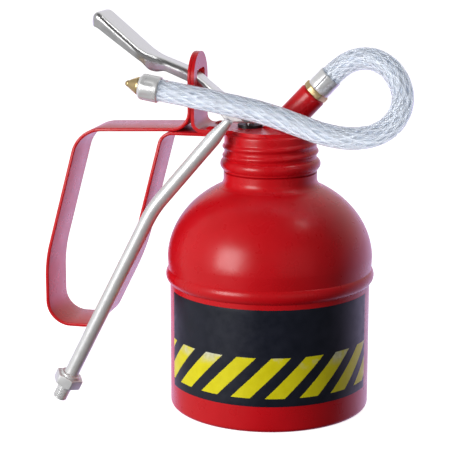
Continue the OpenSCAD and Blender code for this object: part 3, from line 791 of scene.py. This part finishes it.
TOP_LINE = [tuple(v) for v in rounded(LEVER_TOP, [0.8, 0.8, 0.8, 26, 30], 8)]
BOTTOM_LINE = [tuple(v) for v in rounded(LEVER_BOTTOM, [2, 10, 4, 4, 4, 3, 2, 2, 1], 5)]
PLAN_LINE = [tuple(v) for v in rounded(LEVER_PLAN, [1, 2, 4, 8, 6, 8, 4, 20, 8], 5)]


def section(x, inset):
    """Half-open channel outline (y, z) at x, from the near rim over the top to the far rim."""
    half, low, high = at(PLAN_LINE, x) - inset, at(BOTTOM_LINE, x), at(TOP_LINE, x) - 1.25 * inset
    lean_max, lean_x, upright_x = 0.24, -24, -19
    lean = lean_max if x < lean_x else lean_max * max(0.0, (upright_x - x) / (upright_x - lean_x))
    fold = min(max(2.4 - inset, 0.8), 0.45 * (high - low), 0.8 * half)
    drop = high - fold - low
    points = [(-half + lean * drop * (1 - k / 4), low + drop * k / 4) for k in range(4)]
    points += arc(-half + fold, high - fold, fold, 180, 90, 8)
    points += [(-half + fold + (2 * half - 2 * fold) * k / 6, high) for k in range(1, 6)]
    points += arc(half - fold, high - fold, fold, 90, 0, 8)
    return points + [(half - lean * drop * (1 - k / 4), low + drop * k / 4) for k in (3, 2, 1, 0)]


def channel_mesh(sheet_t):
    """The lever's pad and waist: open below and closed at the pad's end."""
    first, last, step = -77.2, -15.0, 0.8
    xs = [-77.2, -77.1, -76.9, -76.6, -76.2, -75.7, -75, -74.2, -73.2, -72]
    while xs[-1] < last - 0.9:
        xs.append(xs[-1] + step)
    xs.append(last)
    outer = [[(x, y, z) for y, z in section(x, 0)] for x in xs]
    inner = [[(max(x, first + sheet_t + 0.04 * i), y, z)
              for y, z in section(max(x, first + sheet_t + 0.04 * i), sheet_t)] for i, x in enumerate(xs)]
    count, rows = len(outer[0]), len(xs)
    verts = [v for ring in outer + inner for v in ring]
    block = rows * count
    faces = []
    for s in (0, block):
        for i in range(rows - 1):
            for k in range(count - 1):
                a, b = s + i * count + k, s + (i + 1) * count + k
                faces.append((a, a + 1, b + 1, b))
        faces.append(tuple(s + k for k in range(count)))
    for i in range(rows - 1):
        for k in (0, count - 1):
            a, b = i * count + k, (i + 1) * count + k
            faces.append((a, b, block + b, block + a))
    faces.append((0, count - 1, block + count - 1, block))
    end = (rows - 1) * count
    faces += [(end + k, end + k + 1, block + end + k + 1, block + end + k) for k in range(count - 1)]
    return carve(raw_mesh("lever_channel", verts, faces), [], 0.28, 3, 55)


def make_lever():
    """Channel with its two ears, whose oblong holes point at the slot's lip."""
    sheet_t, ear_half_w, hole_r = 1.15, 6.8, 1.85
    channel = channel_mesh(sheet_t)
    lip, pin = Vector((TAB_X, 141.3)), Vector((ROD_X, 128.3))
    aim = (lip - pin).normalized()
    run = 3 * aim
    turn = math.degrees(math.atan2(aim.y, aim.x))
    hole = arc(pin.x, pin.y, hole_r, turn - 270, turn - 90, 12) + \
        arc(pin.x + run.x, pin.y + run.y, hole_r, turn - 90, turn + 90, 12)
    ear = soft_loop([(-19.5, 127.6), (-17.9, 125.5), (-4.5, 125.5), (-4.5, 132.4), (-13.4, 132.4),
                     (-15.2, 131.6), (-19.5, 134.6)], 1.6, 5)
    cutter = prism("ear_hole", hole, 30)
    ears = []
    for way in (-1, 1):
        plate = moved(prism("ear", ear, sheet_t - 0.02),
                      Matrix.Translation((0, way * (ear_half_w - sheet_t / 2), 0)))
        ears.append(carve(plate, [("DIFFERENCE", cutter.copy())], 0.25, 3, 50))
    add_piece("lever", joined("lever", [channel] + ears), NICKEL, "lever", ("thumb_lever",),
              sharp=50)


make_lever()


# ------------------------------------------------------------------ outlet, ferrules and nozzle

# The outlet's axis, from the plate upwards, and the hose's far end, along its last stretch
OUTLET = Matrix.Translation((OUTLET_X, 0, PLATE_TOP)) @ Matrix.Rotation(math.radians(43), 4, "Y")
END_AIM = (Vector(HOSE_ROUTE[-1]) - Vector(HOSE_ROUTE[-2])).normalized()
NOZZLE_END = Matrix.Translation(HOSE_ROUTE[-1]) @ Matrix.Rotation(-math.acos(END_AIM.z), 4, "Y")


def hex_nut(name, flats, z0, z1, bore, place, chamfer=0.45):
    """Hexagon with turned corners and a hole."""
    r = flats / math.sqrt(3)
    prism_mesh = moved(prism(name, arc(0, 0, r, 0, 300, 5), z1 - z0, "xy"),
                       Matrix.Translation((0, 0, (z0 + z1) / 2)))
    low, high, slope = z0 - 0.01, z1 + 0.01, chamfer * 0.7
    cone = closed(lathe("turned", [(0, low), (r - chamfer, low), (r + 0.1, z0 + slope), (r + 0.1, z1 - slope),
                                   (r - chamfer, high), (0, high)], 72))
    hole = closed(lathe("hole", [(0, z0 - 1), (bore, z0 - 1), (bore, z1 + 1), (0, z1 + 1)], 48))
    mesh = carve(prism_mesh, [("INTERSECT", cone), ("DIFFERENCE", hole)], 0.12, 2, 30)
    return moved(mesh, place)


def make_outlet():
    """Slanted red tube, and the brass adapter with its shank and barb."""
    tube = [(0, -9), (6, -9), (6, 19.6)] + arc(4.8, 19.8, 1.2, 5, 90, 8) \
        + [(3.9, 21), (3.55, 20.7), (3.4, 20.4), (3.4, 14), (1.8, 13.4), (1.8, 4), (0, 4)]
    mesh = closed(lathe("outlet", tube, 120, OUTLET))
    depth = 40
    below = moved(prism("below", [(-30, -20), (40, -20), (40, 20), (-30, 20)], depth, "xy"),
                  Matrix.Translation((0, 0, PLATE_TOP - depth / 2)))
    spigot = moved(closed(lathe("spigot", [(0, 120), (3.5, 120), (3.5, 126.8), (0, 126.8)], 48)),
                   Matrix.Translation((OUTLET_X, 0, 0)))
    mesh = carve(mesh, [("DIFFERENCE", below), ("DIFFERENCE", spigot)], 0.15, 2, 55)
    add_piece("outlet_spout", mesh, RED, "pump", ("outlet_tube",), sharp=45)
    nut = hex_nut("adapter", 10.2, 21.0, 23.6, 1.5, OUTLET)
    barb = [(1.5, 23.5), (2.7, 23.5), (2.7, 25.6), (3.3, 25.6), (2.7, 27.6), (2.7, 28.6), (3.3, 28.6),
            (2.5, 30.6), (1.5, 30.6)]
    shank = [(1.5, 14.6), (3.38, 14.6), (3.38, 21.1), (1.5, 21.1)]
    mesh = joined("adapter", [nut, lathe("barb", barb, 48, OUTLET), lathe("shank", shank, 48, OUTLET)])
    add_piece("adapter_nut", mesh, BRASS, "pump", ("hose_adapter",), sharp=30)


def seam(t, where, width):
    """1 in the middle of a lengthwise seam at angle where, 0 beside it."""
    gap = abs((t - where + math.pi) % (2 * math.pi) - math.pi)
    return max(0.0, 1 - gap / width)


def make_ferrules():
    """Rolled sleeve at the outlet, crimped sleeve at the nozzle, and the nozzle itself."""
    def rolled(r, _, t):
        lap_start, lap_width, lap_h, groove, groove_w = 3.6, 0.9, 0.28, 0.22, 0.06
        if r < 4.9:
            return r
        lap = lap_h if (t - lap_start) % (2 * math.pi) < lap_width else 0.0
        edges = (lap_start, lap_start + lap_width)
        return r + lap - groove * seam(t, edges[0], groove_w) - groove * seam(t, edges[1], groove_w)

    a = 23.6
    sleeve = [(4.8, a + 0.1), (5.1, a + 0.02), (5.25, a + 0.2), (5.25, a + 1.1), (5.3, a + 1.4), (5.3, a + 3),
              (5.25, a + 3.3), (5.25, a + 7.6), (5.15, a + 7.9), (4.95, a + 8), (4.8, a + 7.9)]
    outlet = add_piece("sleeve_outlet", lathe("sleeve_outlet", sleeve, 200, OUTLET, rolled), BRIGHT, "pump",
                       ("hose_ferrule",), sharp=50)

    def crimped(r, z, t):
        if r < 4.85:
            return r
        press = max(0.0, math.cos(6 * t)) ** 2 * max(0.0, min(1, (4.6 + z) / 1.2 + 1.6, (-z - 0.4) / 1.2))
        return r - 0.24 * press - 0.25 * seam(t, 2.2, 0.07) * (1 if -7.9 < z < -1.5 else 0)

    cap = [(4.82, -7.9), (5.2, -8), (5.55, -7.7)] + [(5.58, -7.4 + 0.5 * k) for k in range(13)] \
        + arc(3.7, -0.9, 1.85, 8, 84, 12) + [(3.2, 0.95), (2.6, 0.8), (2.6, 0.1), (4.82, -0.1)]
    end = add_piece("sleeve_nozzle", lathe("sleeve_nozzle", cap, 200, NOZZLE_END, crimped), BRIGHT, "pump",
                    ("nozzle_ferrule",), sharp=50)
    cone = [(0.8, -5.2), (2.5, -5.2), (2.5, 0.82), (3.7, 0.82), (3.88, 0.95), (3.9, 1.5), (3.8, 1.75)]
    cone += [(3.8 - 2.35 * k / 10, 1.75 + 4.1 * k / 10 + 0.12 * math.sin(math.pi * k / 10))
             for k in range(1, 11)]
    cone += arc(0.15, 5.78, 1.32, 10, 78, 8) + [(0.8, 7.08), (0.7, 6.8), (0.7, -5.2)]
    tip = add_piece("nozzle_cone", lathe("nozzle_cone", cone, 96, NOZZLE_END), BRASS, "pump",
                    ("nozzle",), sharp=28)
    return [outlet, end, tip]


make_outlet()
[hose_braid, hose_liner] + make_ferrules()


# ------------------------------------------------------------------ rigid spout

SPOUT = Matrix.Translation((-90.8, -21.5, 1.5)) @ Matrix.Rotation(math.radians(90 - 63.3), 4, "Y")


def spout_pipe_mesh():
    """Bent tube that narrows to its tip."""
    bend, bend_r, foot, low, high = math.radians(13.6), 50, 11.9, 92.3, 35.2
    taper, chamfer, tube_r, tip_r, tube_bore, narrowing = 10.6, 0.15, 3.175, 1.8, 2.2, 1.4
    line = [Vector((0, 0, foot + (low - foot) * k / 8)) for k in range(8)]
    line += [Vector((bend_r * (1 - math.cos(bend * k / 14)), 0, low + bend_r * math.sin(bend * k / 14)))
             for k in range(15)]
    aim, start = Vector((math.sin(bend), 0, math.cos(bend))), line[-1]
    line += [start + aim * high * k / 6 for k in range(1, 7)]
    taper_start = line[-1]
    radii = [tube_r] * len(line)
    bores = [tube_bore] * len(line)
    for k in range(1, 13):
        t = k / 12
        line.append(taper_start + aim * (taper - chamfer) * t)
        radii.append(tube_r - (tube_r - tip_r) * (t * t * (3 - 2 * t) * 0.35 + 0.65 * t))
        bores.append(tube_bore - narrowing * t)
    line.append(taper_start + aim * taper)
    radii.append(1.62)
    bores.append(0.85)
    return moved(tube_mesh("spout_pipe", line, radii, bores, 48), SPOUT)


def make_spout():
    """The loose spout: bent tube, and the threaded stub with its hexagon and collar."""
    add_piece("spout_pipe", spout_pipe_mesh(), ZINC, "spout", ("spout_tube",), sharp=50)

    def thread(r, z, t):
        pitch = 0.907
        if r < 3 or z > 7.3:
            return r
        wave = (z / pitch - t / (2 * math.pi)) % 1
        fade = min(1, max(0, z / 0.9))
        return r - 0.42 * fade * abs(2 * wave - 1) - 0.3 * max(0, 1 - z / 0.5)

    stub = [(1.8, 0)] + [(3.17, 0.1 * k) for k in range(74)] + [(2.8, 7.45), (2.8, 8.2), (1.8, 8.2)]
    collar = [(3.2, 11.85), (4.5, 11.85), (4.5, 12.6)] + arc(4.05, 12.65, 0.45, 0, 90, 5) + [(3.2, 13.1)]
    mesh = joined("spout_fitting", [lathe("stub", stub, 72, SPOUT, thread),
                                    hex_nut("spout_nut", 11.2, 7.5, 11.9, 1.8, SPOUT, 0.5),
                                    lathe("collar", collar, 72, SPOUT)])
    add_piece("spout_fitting", mesh, ZINC, "spout", ("spout_connector",), sharp=28)


make_spout()


# ------------------------------------------------------------------ rivets

def make_rivets():
    """Four rivets with a domed head at both ends: two through the plate, two through the tab."""
    head = arc(0, -2.5, 3.6, 44, 90, 8)
    profile = [(2.6, 0)] + [(r, z) for r, z in head if z > 0.02] + [(0, 0)]
    shank = [(0, -0.01), (1.5, -0.01), (1.5, 3.01), (0, 3.01)]
    meshes = []
    for way in (-1, 1):
        flat = Matrix.Translation((-24, way * 8, 119.8))
        wall = Matrix.Translation((-33.8, way * 8.5, 133.5)) @ Matrix.Rotation(math.radians(90), 4, "Y")
        for place in (flat, wall):
            meshes += [lathe("shank", shank, 32, place),
                       lathe("head", profile, 40, place @ Matrix.Translation((0, 0, 3))),
                       lathe("head", profile, 40, place @ Matrix.Rotation(math.pi, 4, "X"))]
    add_piece("strip_rivets", joined("rivets", meshes), RED, "pump", ("handle_rivets",),
              sharp=40)


make_rivets()


# ------------------------------------------------------------------ materials for the carried-over nodes

FINISH = {"red_paint": RED, "satin_nickel": NICKEL, "polished_nickel": BRIGHT, "satin_zinc": ZINC,
          "polished_steel": STEEL, "pump_metal": CAST, "brass": BRASS, "black_plastic": BLACK,
          "black_rubber": RUBBER, "clear_hose": HOSE}
for row in frame["record"]["subparts"]:
    part = NODES[row["node"]]
    if row["material_slot"] in FINISH:
        part.data.materials.clear()
        part.data.materials.append(FINISH[row["material_slot"]])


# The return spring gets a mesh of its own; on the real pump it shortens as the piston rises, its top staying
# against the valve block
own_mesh(NODES["return_spring"])


# ------------------------------------------------------------------ floor and light

def make_floor():
    """White paper that shows to the camera but throws no light on the part."""
    bpy.ops.mesh.primitive_plane_add(size=8, location=(0, 0, 0))
    floor = bpy.context.object
    floor.name = "floor"
    mat, tree, shader = new_material("floor_paper")
    grain = ramp(tree, noise(tree, 3, 2), [(0.3, (0.93, 0.93, 0.93)), (0.7, (0.95, 0.95, 0.95))])
    tree.links.new(grain, shader.inputs["Base Color"])
    tree.links.new(grain, shader.inputs["Emission Color"])
    shader.inputs["Emission Strength"].default_value = 0.9
    shader.inputs["Roughness"].default_value = 0.9
    floor.data.materials.append(mat)
    floor.visible_glossy = False
    floor.visible_diffuse = False


def make_world():
    """Bright room behind, lilac below the horizon there, grey on the left and dark in front."""
    world = bpy.data.worlds.new("studio")
    SCENE.world = world
    world.use_nodes = True
    tree = world.node_tree
    parts = node(tree, "ShaderNodeSeparateXYZ")
    tree.links.new(node(tree, "ShaderNodeTexCoord").outputs["Generated"], parts.inputs["Vector"])
    rear = ramp(tree, remap(tree, parts.outputs["Z"], 0, 1, -0.05, 0.3),
                [(0.0, (1.2, 1.04, 1.6)), (1.0, (0.83, 0.83, 0.84))])
    front = ramp(tree, remap(tree, parts.outputs["Z"], 0, 1, -0.75, -0.2),
                 [(0.0, (0.015, 0.015, 0.015)), (1.0, (0.09, 0.09, 0.09))])
    left = ramp(tree, remap(tree, parts.outputs["X"], 1, 0, -1.0, 0.1),
                [(0.0, (0.0, 0.0, 0.0)), (1.0, (0.50, 0.50, 0.51))])
    room = mixed(tree, remap(tree, parts.outputs["Y"], 0, 1, 0.15, 0.8), front, rear)
    lit = mixed(tree, 1, room, left, "LIGHTEN")
    camera_ray = node(tree, "ShaderNodeLightPath").outputs["Is Camera Ray"]
    back = tree.nodes["Background"]
    tree.links.new(mixed(tree, camera_ray, lit, (1, 1, 1, 1)), back.inputs["Color"])
    back.inputs["Strength"].default_value = 1.0


def area_light(name, azimuth, height, distance, size, power, aim=(0, 0, 0.08)):
    """Soft box at an azimuth from the front, positive to the right."""
    a = math.radians(azimuth)
    data = bpy.data.lights.new(name, "AREA")
    data.shape = "RECTANGLE"
    data.size, data.size_y = size
    data.energy = power
    obj = bpy.data.objects.new(name, data)
    SCENE.collection.objects.link(obj)
    place = Vector((distance * math.sin(a), -distance * math.cos(a), height))
    obj.location = place
    obj.rotation_euler = (place - Vector(aim)).to_track_quat("Z", "Y").to_euler()


make_floor()
make_world()
area_light("key", -34, 0.30, 0.9, (0.42, 0.5), 6.2)
area_light("top", 100, 1.1, 0.55, (0.5, 0.10), 1.3)
area_light("fill", 40, 0.4, 1.2, (0.9, 0.9), 0.5)
SCENE.view_settings.view_transform = "Standard"
